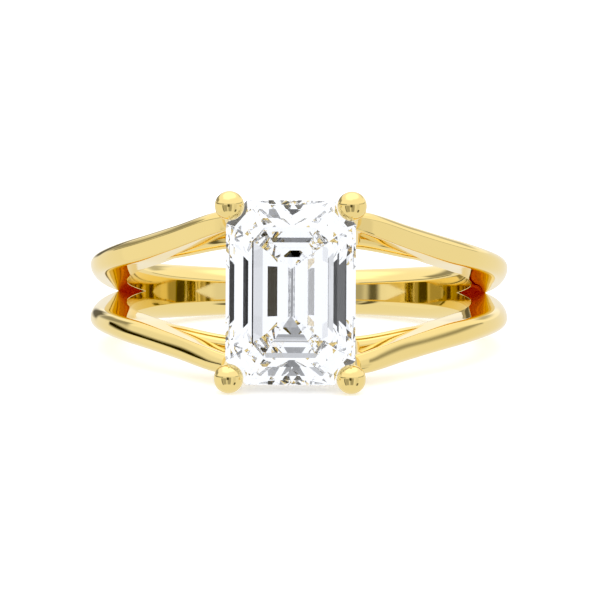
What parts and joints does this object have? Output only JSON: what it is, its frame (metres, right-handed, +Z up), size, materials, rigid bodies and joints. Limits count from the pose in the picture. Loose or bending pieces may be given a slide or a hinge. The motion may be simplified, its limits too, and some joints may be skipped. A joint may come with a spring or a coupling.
{
  "type": "split shank ring",
  "caption": "Yellow gold split shank solitaire ring: two rails rise from one band to ball-tipped prongs round an emerald-cut clear stone.",
  "frame": {"origin": "middle of the bounding box in X and Y, on the surface that the ring lies on", "axes": "+X across the finger, +Y from the stone to the palm side of the band (the stone faces -Y and is tipped up by 9.6 degrees), +Z up, 9.6 degrees off the finger axis"},
  "size_m": [0.0206, 0.024, 0.0095],
  "materials": {
    "yellow_gold": "mirror polished",
    "clear_stone": "cut and polished"
  },
  "bodies": {
    "root": {"split_shank_setting": "yellow_gold", "emerald_cut_stone": "clear_stone"}
  },
  "joints": []
}
